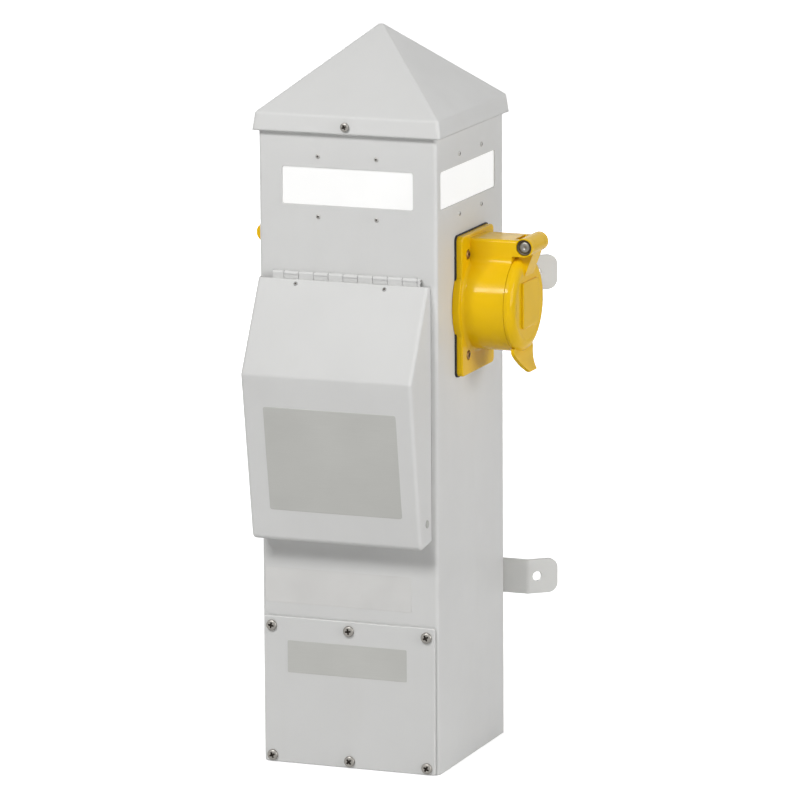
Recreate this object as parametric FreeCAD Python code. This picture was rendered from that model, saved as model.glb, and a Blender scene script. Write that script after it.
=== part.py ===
import FreeCAD, Part
import math
import os

V = FreeCAD.Vector

# Power pedestal for a dock. Millimetres, +Z up, front towards -Y.
# The origin is the centre of the post's open lower end.

# Post: a square tube
post_width = 152.4
post_wall = 3.2
post_height = 530.5
post_corner_r = 3.0

# Pyramid cap
cap_fit = 0.3
cap_overlap = 11.0
cap_skirt_low = 4.0
cap_skirt_high = 2.2
cap_skirt_above = 3.2
cap_rise = 64.3
cap_tip = 4.2
cap_shell = 2.6
cap_edge_r = 3.0
cap_screw_drop = 6.2
cap_screw_sides = (0, 180)

# Light windows and their lenses
window_z = 476.0
window_height = 30.5
window_front_width = 112.0
window_side_width = 124.0
window_side_shift = 5.5
window_corner_r = 2.0
lens_clearance = 0.2
lens_recess = 1.0
lens_plate = 2.0
lens_margin = 3.0
lens_screw_x = 25.0
lens_screw_above = 9.1

# Lamp
lamp_shelf_z = 438.0
lamp_shelf_half = 22.0
lamp_shelf_front = 18.0
lamp_flange = 24.0
lamp_sheet = 2.0
lamp_socket_r = 16.0
lamp_socket_height = 25.0
lamp_bulb_r = 22.0
lamp_bulb_neck_r = 11.5
lamp_bulb_height = 46.0

# Breaker hood, hinged along its top edge
hood_width = 146.4
hood_shift = -2.5
hood_wall = 1.6
hood_below_axis = 4.4
hood_slope_drop = 72.0
hood_front_drop = 139.4
hood_floor_rise = 2.4
hood_top_proud = 5.5
hood_bend_proud = 44.5
hood_bottom_proud = 22.6
hood_bend_r = 4.0
hood_bottom_r = 4.5
hood_side_edge_r = 3.2
hood_seat_gap = 0.3
hood_lock_hole_r = 2.4
hood_lock_hole_up = 20.2
hood_lock_hole_proud = 10.0

# Continuous hinge of the hood
hinge_axis_z = 405.0
hinge_barrel_r = 1.9
hinge_pin_r = 1.0
hinge_pitch = 12.7
hinge_full_knuckles = 9
hinge_first_knuckle = 10.0
hinge_last_knuckle = 2.7
hinge_sheet = 0.9
hinge_leaf_drop = 24.0
hinge_hood_leaf = 17.0
hinge_rivet_x = 38.1
hinge_rivet_r = 1.1
hinge_rivet_head_r = 1.8
hinge_rivet_head = 0.6
hood_rivet_shift = -4.0
hood_rivet_down = 3.6

# Breaker compartment
panel_half_width = 66.0
panel_thickness = 1.5
panel_above_hood_bottom = 17.0
panel_below_leaf = 4.0
panel_rim = 16.0
panel_screw_x = 26.0
breaker_width = 25.4
breaker_gap = 0.6
breaker_height = 76.0
breaker_depth = 58.0
breaker_nose_width = 17.0
breaker_nose_height = 40.0
breaker_nose_proud = 8.0
toggle_width = 8.0
toggle_hub_r = 4.6
toggle_reach = 15.0
toggle_thickness = 4.4
toggle_tilt = 22.0
toggle_gap = 0.4
tray_sheet = 2.0
tray_half_width = 32.0

# Service cover at the foot
service_width = 148.2
service_height = 122.0
service_thickness = 2.4
service_gasket_t = 1.0
service_gasket_inset = 3.0
service_foot = 0.4
service_screw_x = 67.1
service_screw_edge_low = 5.6
service_screw_edge_high = 7.7
service_opening_rim = 15.0
service_corner_r = 2.0

# Lift covers of the two receptacles
cover_z = 377.4
cover_plate_width = 73.0
cover_plate_height = 114.0
cover_plate_t = 4.9
cover_plate_corner_r = 4.5
cover_gasket_t = 1.6
cover_gasket_over = 0.8
cover_flange_r = 43.5
cover_drum_r = 39.2
cover_drum_wall = 3.2
cover_root_r = 3.0
cover_blend_r = 10.0
cover_top_r = 2.5
cover_wall_gap = 0.3
cover_screw_y = 22.8
cover_screw_z = 41.0
cover_sink_r = 4.2
cover_sink_depth = 1.6
cover_axis_up = 48.1
cover_axis_out = 10.2
cover_barrel_r = 7.7
cover_hinge_half = 18.4
cover_knuckle_half = 10.6
cover_pin_r = 2.4
cover_pin_head_r = 4.6
cover_pin_head = 2.6
cover_recess_r = 6.6
cover_recess_depth = 4.6
cover_block_up = 53.6
cover_block_low = 33.0
cover_spring_r = 4.9
cover_spring_half = 5.5
lid_gap = 0.3
lid_rim = 2.5
lid_rise = 7.6
lid_flat_r = 29.0
lid_shell = 2.8
lid_seal_inset = 1.8
lid_seal_wall = 3.2
lid_seal_t = 2.0
lid_pad_half = 18.0
lid_pad_low = 18.5
lid_pad_high = 19.0
lid_pad_rise = 2.0
lid_tab_half = 22.0
lid_tab_tip_half = 7.0
lid_tab_drop = 55.4
lid_tab_out = 11.6
lid_tab_mid_out = 5.6
lid_tab_t = 2.6
lid_tab_root = 5.0
right_drum_out = 42.0
left_drum_out = 8.4
right_face_out = 24.0
left_face_out = 7.4
receptacle_r = 27.6
receptacle_flange_r = 33.0
receptacle_flange_t = 3.2
receptacle_depth = 38.0
receptacle_fit = 0.4

# Rear mounting straps
strap_top_z = 387.2
strap_pitch = 254.0
strap_height = 28.6
strap_thickness = 3.0
strap_flat_half = 97.0
strap_ear = 26.0
strap_ear_angle = 40.0
strap_bend_r = 3.0
strap_end_r = 8.0
strap_hole_r = 4.0
strap_hole_along = 8.2
strap_bolt_x = 50.0
strap_bolt_r = 3.0
strap_bolt_head_r = 6.5
strap_bolt_head = 3.4
strap_nut_half = 5.0
strap_nut_height = 5.0

# Feeder terminals and ground bar
terminal_z = 60.0
terminal_half_width = 33.0
terminal_height = 36.0
terminal_depth = 22.0
terminal_poles = 3
terminal_barrier = 3.0
terminal_step = 8.0
ground_z = 60.0
ground_length = 62.0
ground_bar_height = 9.0
ground_bar_depth = 7.0
ground_standoff = 5.0
ground_screw_count = 5

# Small screws, all with the same head
screw_r = 1.8
screw_head_r = 4.5
screw_head = 2.4
small_screw_r = 1.2
small_screw_head_r = 1.9
small_screw_head = 0.9
screw_fit = 0.1

# Derived positions
half = post_width / 2.0
inner = half - post_wall
cap_bottom_z = post_height - cap_overlap
hood_top_z = hinge_axis_z - hood_below_axis
hood_bend_z = hood_top_z - hood_slope_drop
hood_bottom_z = hood_bend_z - hood_front_drop
hinge_axis_proud = hinge_barrel_r + hood_seat_gap
hinge_length = hinge_first_knuckle + hinge_full_knuckles * hinge_pitch + hinge_last_knuckle
panel_low_z = hood_bottom_z + panel_above_hood_bottom
panel_high_z = hinge_axis_z - hinge_leaf_drop - panel_below_leaf
breaker_z = (panel_low_z + panel_high_z) / 2.0
strap_low_z = strap_top_z - strap_pitch


# Helpers
def block(x0, x1, y0, y1, z0, z1):
    return Part.makeBox(x1 - x0, y1 - y0, z1 - z0, V(x0, y0, z0))


def rod(start, direction, radius, length):
    return Part.makeCylinder(radius, length, start, direction)


def tube(start, direction, outer_r, inner_r, length):
    return rod(start, direction, outer_r, length).cut(rod(start, direction, inner_r, length))


def rounded_wire(corners):
    # Closed outline through (point, radius) corners, with an arc at each radius
    trims = []
    count = len(corners)
    for i in range(count):
        point, radius = corners[i]
        back = corners[i - 1][0] - point
        ahead = corners[(i + 1) % count][0] - point
        back.normalize()
        ahead.normalize()
        if radius <= 0:
            trims.append((point, None, point))
            continue
        angle = back.getAngle(ahead) / 2.0
        run = radius / math.tan(angle)
        middle = back + ahead
        middle.normalize()
        deep = radius / math.sin(angle) - radius
        trims.append((point + back * run, point + middle * deep, point + ahead * run))
    edges = []
    for i in range(count):
        start, middle, end = trims[i]
        if middle is not None:
            edges.append(Part.Arc(start, middle, end).toShape())
        following = trims[(i + 1) % count][0]
        if (following - end).Length > 0.001:
            edges.append(Part.makeLine(end, following))
    return Part.Wire(edges)


def plate_y(x0, x1, z0, z1, y0, y1, radius):
    # Plate across Y with rounded corners
    corners = [V(x0, y0, z0), V(x1, y0, z0), V(x1, y0, z1), V(x0, y0, z1)]
    wire = rounded_wire([(c, radius) for c in corners])
    return Part.Face(wire).extrude(V(0, y1 - y0, 0))


def plate_x(y0, y1, z0, z1, x0, x1, radius):
    # Plate across X with rounded corners
    corners = [V(x0, y0, z0), V(x0, y1, z0), V(x0, y1, z1), V(x0, y0, z1)]
    wire = rounded_wire([(c, radius) for c in corners])
    return Part.Face(wire).extrude(V(x1 - x0, 0, 0))


def side_profile(points, x0, x1):
    # Prism along X from (proud of the front face, height, radius) points
    corners = [(V(x0, -half - p, z), r) for p, z, r in points]
    return Part.Face(rounded_wire(corners)).extrude(V(x1 - x0, 0, 0))


def turned(shape, angle):
    copy = shape.copy()
    copy.rotate(V(0, 0, 0), V(0, 0, 1), angle)
    return copy


def pan_screw(seat, outward, shank_r, head_r, head_height, length):
    # Pan head on a seat, with its shank running inward
    head = rod(seat, outward, head_r, head_height)
    rim = [e for e in head.Edges if e.Length > 1.9 * math.pi * head_r
           and (e.CenterOfMass - seat).dot(outward) > head_height / 2.0]
    head = head.makeFillet(head_height * 0.45, rim)
    shank = rod(seat, outward * -1.0, shank_r, length)
    return head.fuse(shank).removeSplitter()


def offset_strip(points, thickness):
    # Folded sheet: the second side of an open path, offset to its left
    count = len(points)
    normals = []
    for i in range(count - 1):
        dx = points[i + 1][0] - points[i][0]
        dy = points[i + 1][1] - points[i][1]
        size = math.hypot(dx, dy)
        normals.append((-dy / size, dx / size))
    other = []
    for i in range(count):
        before = normals[max(i - 1, 0)]
        after = normals[min(i, count - 2)]
        share = 1.0 + before[0] * after[0] + before[1] * after[1]
        nx = (before[0] + after[0]) / share
        ny = (before[1] + after[1]) / share
        other.append((points[i][0] + nx * thickness, points[i][1] + ny * thickness))
    return other


# Post
def window_cut(width, shift):
    low = window_z - window_height / 2.0
    return plate_y(shift - width / 2.0, shift + width / 2.0, low, low + window_height,
                   -half - 1.0, -inner + 1.0, window_corner_r)


def windows():
    # Angle about Z, window width, sideways shift seen from outside
    return [(0, window_front_width, 0.0), (90, window_side_width, -window_side_shift),
            (180, window_front_width, 0.0), (270, window_side_width, window_side_shift)]


def lens_screw_points():
    reach = window_height / 2.0 + lens_screw_above
    return [(x, window_z + s * reach) for s in (-1, 1) for x in (-lens_screw_x, lens_screw_x)]


def service_screw_points():
    low = service_foot + service_screw_edge_low
    high = service_height - service_screw_edge_high
    return [(x, z) for z in (low, high) for x in (-service_screw_x, 0.0, service_screw_x)]


def panel_screw_points():
    low = panel_low_z + panel_rim / 2.0
    high = panel_high_z - panel_rim / 2.0
    return [(x, z) for z in (low, high) for x in (-panel_screw_x, panel_screw_x)]


def strap_bolt_points():
    return [(x, z) for z in (strap_low_z, strap_top_z) for x in (-strap_bolt_x, strap_bolt_x)]


def cover_screw_points():
    return [(y, cover_z + z) for z in (-cover_screw_z, cover_screw_z)
            for y in (-cover_screw_y, cover_screw_y)]


def front_hole(x, z, radius, angle=0):
    hole = rod(V(x, -half - 1.0, z), V(0, 1, 0), radius, post_wall + 2.0)
    return turned(hole, angle)


def post_shell():
    outer = [(V(sx * half, sy * half, 0), post_corner_r)
             for sx, sy in ((-1, -1), (1, -1), (1, 1), (-1, 1))]
    shell = Part.Face(rounded_wire(outer)).extrude(V(0, 0, post_height))
    shell = shell.cut(block(-inner, inner, -inner, inner, -1.0, post_height + 1.0))
    cuts = []
    for angle, width, shift in windows():
        cuts.append(turned(window_cut(width, shift), angle))
        for x, z in lens_screw_points():
            cuts.append(front_hole(x, z, small_screw_r + screw_fit, angle))
    for angle in cap_screw_sides:
        cuts.append(front_hole(0.0, cap_bottom_z + cap_screw_drop, screw_r + screw_fit, angle))
    rim = panel_rim
    cuts.append(plate_y(-panel_half_width + rim, panel_half_width - rim, panel_low_z + rim,
                        panel_high_z - rim, -half - 1.0, -inner + 1.0, 3.0))
    rim = service_opening_rim
    cuts.append(plate_y(-service_width / 2.0 + rim, service_width / 2.0 - rim,
                        service_foot + rim, service_height - rim, -half - 1.0, -inner + 1.0, 3.0))
    for x, z in service_screw_points() + panel_screw_points():
        cuts.append(front_hole(x, z, screw_r + screw_fit))
    for x in (-hinge_rivet_x, hinge_rivet_x):
        cuts.append(front_hole(x, hinge_axis_z - hinge_leaf_drop * 0.6, hinge_rivet_r))
    for x, z in strap_bolt_points():
        cuts.append(front_hole(x, z, strap_bolt_r + screw_fit, 180))
    for x in (-lamp_shelf_half * 0.6, lamp_shelf_half * 0.6):
        cuts.append(front_hole(x, lamp_shelf_z - lamp_flange * 0.55, small_screw_r, 180))
    for angle in (90, 270):
        cuts.append(front_hole(0.0, cover_z, receptacle_r + receptacle_fit, angle))
        for y, z in cover_screw_points():
            cuts.append(front_hole(y, z, screw_r + screw_fit, angle))
    return shell.cut(cuts)


# Cap
def square_loft(levels):
    wires = []
    for size, z in levels:
        points = [V(-size, -size, z), V(size, -size, z), V(size, size, z), V(-size, size, z)]
        wires.append(Part.makePolygon(points + [points[0]]))
    return Part.makeLoft(wires, True, True)


def pyramid_cap():
    skirt_z = post_height + cap_skirt_above
    low = half + cap_fit + cap_skirt_low
    high = half + cap_fit + cap_skirt_high
    peak_z = skirt_z + cap_rise
    outer = square_loft([(low, cap_bottom_z), (high, skirt_z), (cap_tip / 2.0, peak_z)])
    edges = [e for e in outer.Edges if e.CenterOfMass.z > cap_bottom_z + 1.0
             and e.CenterOfMass.z < peak_z - 0.01]
    outer = outer.makeFillet(cap_edge_r, edges)
    seat = half + cap_fit
    socket = block(-seat, seat, -seat, seat, cap_bottom_z - 1.0, post_height)
    hollow = square_loft([(inner, post_height - 1.0), (inner, skirt_z - cap_shell),
                          (cap_tip / 2.0, peak_z - 2.0 * cap_shell)])
    cap = outer.cut([socket, hollow])
    holes = []
    for angle in cap_screw_sides:
        hole = rod(V(0, -low - 1.0, cap_bottom_z + cap_screw_drop), V(0, 1, 0),
                   screw_r + screw_fit, low - half + 2.0)
        holes.append(turned(hole, angle))
    return cap.cut(holes)


def cap_screws():
    # The head sinks a little into the drafted skirt's thin side
    slope = (cap_skirt_low - cap_skirt_high) / (cap_overlap + cap_skirt_above)
    face = half + cap_fit + cap_skirt_low - slope * (cap_screw_drop - screw_head_r)
    screw = pan_screw(V(0, -face, cap_bottom_z + cap_screw_drop), V(0, -1, 0), screw_r,
                      screw_head_r * 0.8, screw_head, face - inner + 4.0)
    return Part.makeCompound([turned(screw, angle) for angle in cap_screw_sides])


# Lenses and lamp
def lens(index):
    angle, width, shift = windows()[index]
    wide = width / 2.0 + lens_margin
    high = window_height / 2.0 + lens_screw_above + lens_margin + small_screw_head_r
    plate = plate_y(shift - wide, shift + wide, window_z - high, window_z + high,
                    -inner, -inner + lens_plate, 2.0)
    wide = width / 2.0 - lens_clearance
    high = window_height / 2.0 - lens_clearance
    pane = plate_y(shift - wide, shift + wide, window_z - high, window_z + high,
                   -half + lens_recess, -inner + lens_plate, window_corner_r)
    holes = [rod(V(x, -half, z), V(0, 1, 0), small_screw_r + screw_fit, post_wall + lens_plate + 1.0)
             for x, z in lens_screw_points()]
    return turned(plate.fuse(pane).removeSplitter().cut(holes), angle)


def lens_screws():
    screws = []
    for angle, width, shift in windows():
        for x, z in lens_screw_points():
            screw = pan_screw(V(x, -half, z), V(0, -1, 0), small_screw_r, small_screw_head_r,
                              small_screw_head, post_wall + lens_plate + 1.5)
            screws.append(turned(screw, angle))
    return Part.makeCompound(screws)


def lamp_bracket():
    path = [(inner, lamp_shelf_z - lamp_flange), (inner, lamp_shelf_z),
            (-lamp_shelf_front, lamp_shelf_z)]
    side = offset_strip(path, lamp_sheet)
    outline = path + side[::-1]
    corners = [(V(-lamp_shelf_half, y, z), 0.0) for y, z in outline]
    corners[1] = (corners[1][0], lamp_sheet * 1.5)
    shelf = Part.Face(rounded_wire(corners)).extrude(V(2.0 * lamp_shelf_half, 0, 0))
    holes = [rod(V(x, inner + 1.0, lamp_shelf_z - lamp_flange * 0.55), V(0, -1, 0),
                 small_screw_r, lamp_sheet + 2.0)
             for x in (-lamp_shelf_half * 0.6, lamp_shelf_half * 0.6)]
    return shelf.cut(holes)


def lamp_bracket_screws():
    screws = []
    for x in (-lamp_shelf_half * 0.6, lamp_shelf_half * 0.6):
        seat = V(x, half, lamp_shelf_z - lamp_flange * 0.55)
        screws.append(pan_screw(seat, V(0, 1, 0), small_screw_r, small_screw_head_r,
                                small_screw_head, post_wall + lamp_sheet + 1.5))
    return Part.makeCompound(screws)


def lamp_socket():
    base = rod(V(0, 0, lamp_shelf_z), V(0, 0, 1), lamp_socket_r, lamp_socket_height)
    well = rod(V(0, 0, lamp_shelf_z + 4.0), V(0, 0, 1), lamp_bulb_neck_r + screw_fit,
               lamp_socket_height)
    top = [e for e in base.Edges if e.CenterOfMass.z > lamp_shelf_z + lamp_socket_height - 0.1]
    return base.makeFillet(1.5, top).cut(well)


def lamp_bulb():
    foot = lamp_shelf_z + 4.0
    neck = lamp_shelf_z + lamp_socket_height
    centre = neck + lamp_bulb_height - lamp_bulb_r
    start = V(lamp_bulb_neck_r, 0, neck)
    rim = math.sqrt(0.5) * lamp_bulb_r
    low = V(rim, 0, centre - rim)
    side = V(lamp_bulb_r, 0, centre)
    top = V(0, 0, centre + lamp_bulb_r)
    outline = [Part.makeLine(V(0, 0, foot), V(lamp_bulb_neck_r, 0, foot)),
               Part.makeLine(V(lamp_bulb_neck_r, 0, foot), start),
               Part.makeLine(start, low),
               Part.Arc(low, V(lamp_bulb_r * math.cos(0.4), 0, centre - lamp_bulb_r * math.sin(0.4)),
                        side).toShape(),
               Part.Arc(side, V(rim, 0, centre + rim), top).toShape(),
               Part.makeLine(top, V(0, 0, foot))]
    return Part.Face(Part.Wire(outline)).revolve(V(0, 0, 0), V(0, 0, 1), 360)


# Hood
def slope_frame():
    # Direction down the slope and outward normal, as (proud, z) pairs
    run = hood_bend_proud - hood_top_proud
    size = math.hypot(run, hood_slope_drop)
    return (run / size, -hood_slope_drop / size), (hood_slope_drop / size, run / size)


def on_slope(down, depth):
    # Point on the slope, measured down from its top edge and inward from its face
    along, out = slope_frame()
    return (hood_top_proud + along[0] * down - out[0] * depth,
            hood_top_z + along[1] * down - out[1] * depth)


def hood_path():
    # Outer face from the slope's top edge round to the rear of the floor, as (proud, z)
    return [(hood_top_proud, hood_top_z), (hood_bend_proud, hood_bend_z),
            (hood_bottom_proud, hood_bottom_z),
            (hood_seat_gap, hood_bottom_z + hood_floor_rise)]


def hood_space(x0, x1):
    # Inside of the sheet, open at the rear and along the top behind the slope
    back = -5.0
    inner_path = offset_strip(hood_path(), -hood_wall)
    top = on_slope(-12.0, hood_wall)
    low, rear = inner_path[2], inner_path[3]
    fall = (rear[1] - low[1]) / (rear[0] - low[0])
    floor_z = rear[1] + fall * (back - rear[0])
    return side_profile([(back, top[1], 0.0), (top[0], top[1], 0.0),
                         (inner_path[1][0], inner_path[1][1], max(hood_bend_r - hood_wall, 0.5)),
                         (low[0], low[1], max(hood_bottom_r - hood_wall, 0.5)),
                         (back, floor_z, 0.0)], x0 + hood_wall, x1 - hood_wall)


def hood():
    x0 = hood_shift - hood_width / 2.0
    x1 = hood_shift + hood_width / 2.0
    radii = [0.0, hood_bend_r, hood_bottom_r, 0.0]
    points = [(hood_seat_gap, hood_top_z, 0.0)]
    points += [(proud, z, r) for (proud, z), r in zip(hood_path(), radii)]
    shell = side_profile(points, x0, x1)
    rims = [e for e in shell.Edges
            if min(abs(e.CenterOfMass.x - x0), abs(e.CenterOfMass.x - x1)) < 0.01
            and e.CenterOfMass.y < -half - hood_seat_gap - 0.5
            and e.CenterOfMass.z < hood_top_z - 0.1]
    shell = shell.makeFillet(hood_side_edge_r, rims)
    lock_start = V(x0 - 1.0, -half - hood_lock_hole_proud, hood_bottom_z + hood_lock_hole_up)
    holes = [rod(lock_start, V(1, 0, 0), hood_lock_hole_r, hood_width + 2.0)]
    for x in hood_rivet_places():
        holes.append(hood_rivet_rod(x, hinge_rivet_r, -1.0, hood_wall + 1.0))
    return shell.cut([hood_space(x0, x1)] + holes)


def hood_rivet_places():
    return [hood_rivet_shift - hinge_rivet_x, hood_rivet_shift + hinge_rivet_x]


def hood_rivet_rod(x, radius, start, end):
    # Rod square to the slope between two depths below its face
    proud, z = on_slope(hood_rivet_down, start)
    along, out = slope_frame()
    return rod(V(x, -half - proud, z), V(0, out[0], -out[1]), radius, end - start)


def hood_rivets():
    rivets = []
    for x in hood_rivet_places():
        deep = hood_wall + hinge_sheet
        body = hood_rivet_rod(x, hinge_rivet_r, -hinge_rivet_head, deep + hinge_rivet_head)
        outer = hood_rivet_rod(x, hinge_rivet_head_r, -hinge_rivet_head, 0.0)
        tail = hood_rivet_rod(x, hinge_rivet_head_r * 0.8, deep, deep + hinge_rivet_head)
        rivets.append(body.fuse([outer, tail]).removeSplitter())
    return Part.makeCompound(rivets)


# Hinge
def knuckle_span(index):
    # Whole knuckles lie between two cut ones, as in a length sawn from stock
    start = -hinge_length / 2.0
    length = hinge_first_knuckle
    if index > 0:
        start += hinge_first_knuckle + (index - 1) * hinge_pitch
        length = hinge_pitch
    if index > hinge_full_knuckles:
        length = hinge_last_knuckle
    gap = hood_seat_gap / 2.0
    return start + gap, start + length - gap


def knuckle(index, web):
    x0, x1 = knuckle_span(index)
    barrel = rod(V(x0, -half - hinge_axis_proud, hinge_axis_z), V(1, 0, 0), hinge_barrel_r, x1 - x0)
    return barrel.fuse(side_profile([(p, z, 0.0) for p, z in web], x0, x1))


def hinge_bore(radius):
    reach = hinge_length / 2.0 + 5.0
    return rod(V(-reach, -half - hinge_axis_proud, hinge_axis_z), V(1, 0, 0), radius, 2.0 * reach)


def hinge_post_leaf():
    top_z = hinge_axis_z - 2.0 * hinge_barrel_r
    low_z = hinge_axis_z - hinge_leaf_drop
    wide = hinge_length / 2.0
    leaf = block(-wide, wide, -half - hinge_sheet, -half, low_z, top_z)
    bore_edge = hinge_axis_proud - hinge_pin_r
    web = [(0.0, top_z - 0.5), (hinge_sheet, top_z - 0.5), (bore_edge, hinge_axis_z),
           (hood_seat_gap, hinge_axis_z), (0.0, hinge_axis_z - hinge_barrel_r)]
    parts = [knuckle(i, web) for i in range(1, hinge_full_knuckles + 1, 2)]
    leaf = leaf.fuse(parts).removeSplitter()
    holes = [rod(V(x, -half + 1.0, hinge_axis_z - hinge_leaf_drop * 0.6), V(0, -1, 0),
                 hinge_rivet_r, hinge_sheet + 2.0) for x in (-hinge_rivet_x, hinge_rivet_x)]
    return leaf.cut([hinge_bore(hinge_pin_r)] + holes)


def hinge_hood_leaf_shape():
    # The leaf lies under the slope and bends up to its knuckles past the hood's top edge
    wide = hinge_length / 2.0
    along, out = slope_frame()
    lip = hood_wall * out[1] / along[1]
    near = on_slope(lip, hood_wall)
    near_in = on_slope(lip, hood_wall + hinge_sheet)
    far = on_slope(hinge_hood_leaf, hood_wall)
    far_in = on_slope(hinge_hood_leaf, hood_wall + hinge_sheet)
    leaf = side_profile([(p, z, 0.0) for p, z in (near, far, far_in, near_in)], -wide, wide)
    front = hinge_axis_proud + hinge_barrel_r
    web = [(front - hinge_sheet, hinge_axis_z), (front, hinge_axis_z), near, near_in]
    parts = [knuckle(i, web) for i in range(0, hinge_full_knuckles + 2, 2)]
    leaf = leaf.fuse(parts).removeSplitter()
    holes = [hood_rivet_rod(x, hinge_rivet_r, hood_wall - 1.0, hood_wall + hinge_sheet + 1.0)
             for x in hood_rivet_places()]
    return leaf.cut([hinge_bore(hinge_pin_r + 0.06)] + holes)


def hinge_pin():
    wide = hinge_length / 2.0
    return rod(V(-wide, -half - hinge_axis_proud, hinge_axis_z), V(1, 0, 0), hinge_pin_r,
               2.0 * wide)


def hinge_post_rivets():
    rivets = []
    z = hinge_axis_z - hinge_leaf_drop * 0.6
    for x in (-hinge_rivet_x, hinge_rivet_x):
        body = rod(V(x, -inner + hinge_rivet_head, z), V(0, -1, 0), hinge_rivet_r,
                   post_wall + hinge_sheet + 2.0 * hinge_rivet_head)
        outer = rod(V(x, -half - hinge_sheet, z), V(0, -1, 0), hinge_rivet_head_r, hinge_rivet_head)
        tail = rod(V(x, -inner, z), V(0, 1, 0), hinge_rivet_head_r * 0.8, hinge_rivet_head)
        rivets.append(body.fuse([outer, tail]).removeSplitter())
    return Part.makeCompound(rivets)


# Breaker compartment
def breaker_centres():
    step = (breaker_width + breaker_gap) / 2.0
    return {"left": -step, "right": step}


def dead_front_plate():
    plate = plate_y(-panel_half_width, panel_half_width, panel_low_z, panel_high_z,
                    -half - panel_thickness, -half, 3.0)
    cuts = [rod(V(x, -half + 1.0, z), V(0, -1, 0), screw_r + screw_fit, panel_thickness + 2.0)
            for x, z in panel_screw_points()]
    for x in breaker_centres().values():
        wide = breaker_nose_width / 2.0 + 0.3
        high = breaker_nose_height / 2.0 + 0.3
        cuts.append(plate_y(x - wide, x + wide, breaker_z - high, breaker_z + high,
                            -half - panel_thickness - 1.0, -half + 1.0, 1.0))
    return plate.cut(cuts)


def dead_front_screws():
    screws = []
    for x, z in panel_screw_points():
        screws.append(pan_screw(V(x, -half - panel_thickness, z), V(0, -1, 0), screw_r,
                                screw_head_r * 0.8, screw_head,
                                panel_thickness + post_wall + tray_sheet + 2.0))
    return Part.makeCompound(screws)


def breaker_tray():
    # Folded strap: ears on the inner wall, arms and a back that carries the breakers
    low = panel_low_z + panel_rim - tray_sheet
    high = panel_high_z - panel_rim + tray_sheet
    wall_y = -inner
    back_y = -half + breaker_depth
    path = [(wall_y, panel_low_z), (wall_y, low), (back_y, low), (back_y, high),
            (wall_y, high), (wall_y, panel_high_z)]
    outer = [(path[0][0] + tray_sheet, path[0][1]), (path[1][0] + tray_sheet, low - tray_sheet),
             (back_y + tray_sheet, low - tray_sheet), (back_y + tray_sheet, high + tray_sheet),
             (wall_y + tray_sheet, high + tray_sheet), (wall_y + tray_sheet, panel_high_z)]
    radii = [0.0, 1.0, 1.0, 1.0, 1.0, 0.0]
    corners = [(V(-tray_half_width, y, z), r) for (y, z), r in zip(path, radii)]
    corners += [(V(-tray_half_width, y, z), r) for (y, z), r in zip(outer[::-1], radii)]
    tray = Part.Face(rounded_wire(corners)).extrude(V(2.0 * tray_half_width, 0, 0))
    holes = [rod(V(x, -inner - 1.0, z), V(0, 1, 0), screw_r + screw_fit, tray_sheet + 3.0)
             for x, z in panel_screw_points()]
    return tray.cut(holes)


def breaker(x):
    wide = breaker_width / 2.0
    high = breaker_height / 2.0
    case = plate_x(-half, -half + breaker_depth, breaker_z - high, breaker_z + high,
                   x - wide, x + wide, 3.0)
    wide = breaker_nose_width / 2.0
    high = breaker_nose_height / 2.0
    nose = plate_x(-half - breaker_nose_proud, -half + 5.0, breaker_z - high, breaker_z + high,
                   x - wide, x + wide, 2.0)
    slot = toggle_width / 2.0 + toggle_gap
    well = rod(V(x - slot, -half - toggle_hub_proud(), breaker_z), V(1, 0, 0),
               toggle_hub_r + toggle_gap, 2.0 * slot)
    mouth = toggle_mouth_half()
    gate = block(x - slot, x + slot, -half - breaker_nose_proud - 1.0,
                 -half - toggle_hub_proud(), breaker_z - mouth, breaker_z + mouth)
    return case.fuse(nose).removeSplitter().cut([well, gate])


def toggle_hub_proud():
    return breaker_nose_proud - toggle_hub_r - 0.6


def toggle_mouth_half():
    swing = math.radians(toggle_tilt)
    reach = breaker_nose_proud - toggle_hub_proud()
    return reach * math.tan(swing) + toggle_thickness / 2.0 / math.cos(swing) + toggle_gap


def toggle(x):
    wide = toggle_width / 2.0
    proud = toggle_hub_proud()
    centre = V(x - wide, -half - proud, breaker_z)
    hub = rod(centre, V(1, 0, 0), toggle_hub_r, toggle_width)
    thick = toggle_thickness / 2.0
    lever = plate_x(-half - proud - toggle_reach, -half - proud, breaker_z - thick,
                    breaker_z + thick, x - wide, x + wide, thick * 0.6)
    lever.rotate(centre, V(1, 0, 0), -toggle_tilt)
    return hub.fuse(lever).removeSplitter()


# Service cover
def service_cover():
    wide = service_width / 2.0
    y1 = -half - service_gasket_t
    cover = plate_y(-wide, wide, service_foot, service_height, y1 - service_thickness, y1,
                    service_corner_r)
    face = [e for e in cover.Edges if e.CenterOfMass.y < y1 - service_thickness + 0.01]
    cover = cover.makeFillet(0.8, face)
    holes = [rod(V(x, y1 + 1.0, z), V(0, -1, 0), screw_r + screw_fit, service_thickness + 2.0)
             for x, z in service_screw_points()]
    return cover.cut(holes)


def service_gasket():
    inset = service_gasket_inset
    wide = service_width / 2.0 - inset
    low = service_foot + inset
    high = service_height - inset
    gasket = plate_y(-wide, wide, low, high, -half - service_gasket_t, -half, 2.0)
    rim = service_opening_rim
    cuts = [plate_y(-service_width / 2.0 + rim, service_width / 2.0 - rim, service_foot + rim,
                    service_height - rim, -half - service_gasket_t - 1.0, -half + 1.0, 3.0)]
    for x, z in service_screw_points():
        cuts.append(rod(V(x, -half + 1.0, z), V(0, -1, 0), screw_r + screw_fit,
                        service_gasket_t + 2.0))
    return gasket.cut(cuts)


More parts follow.
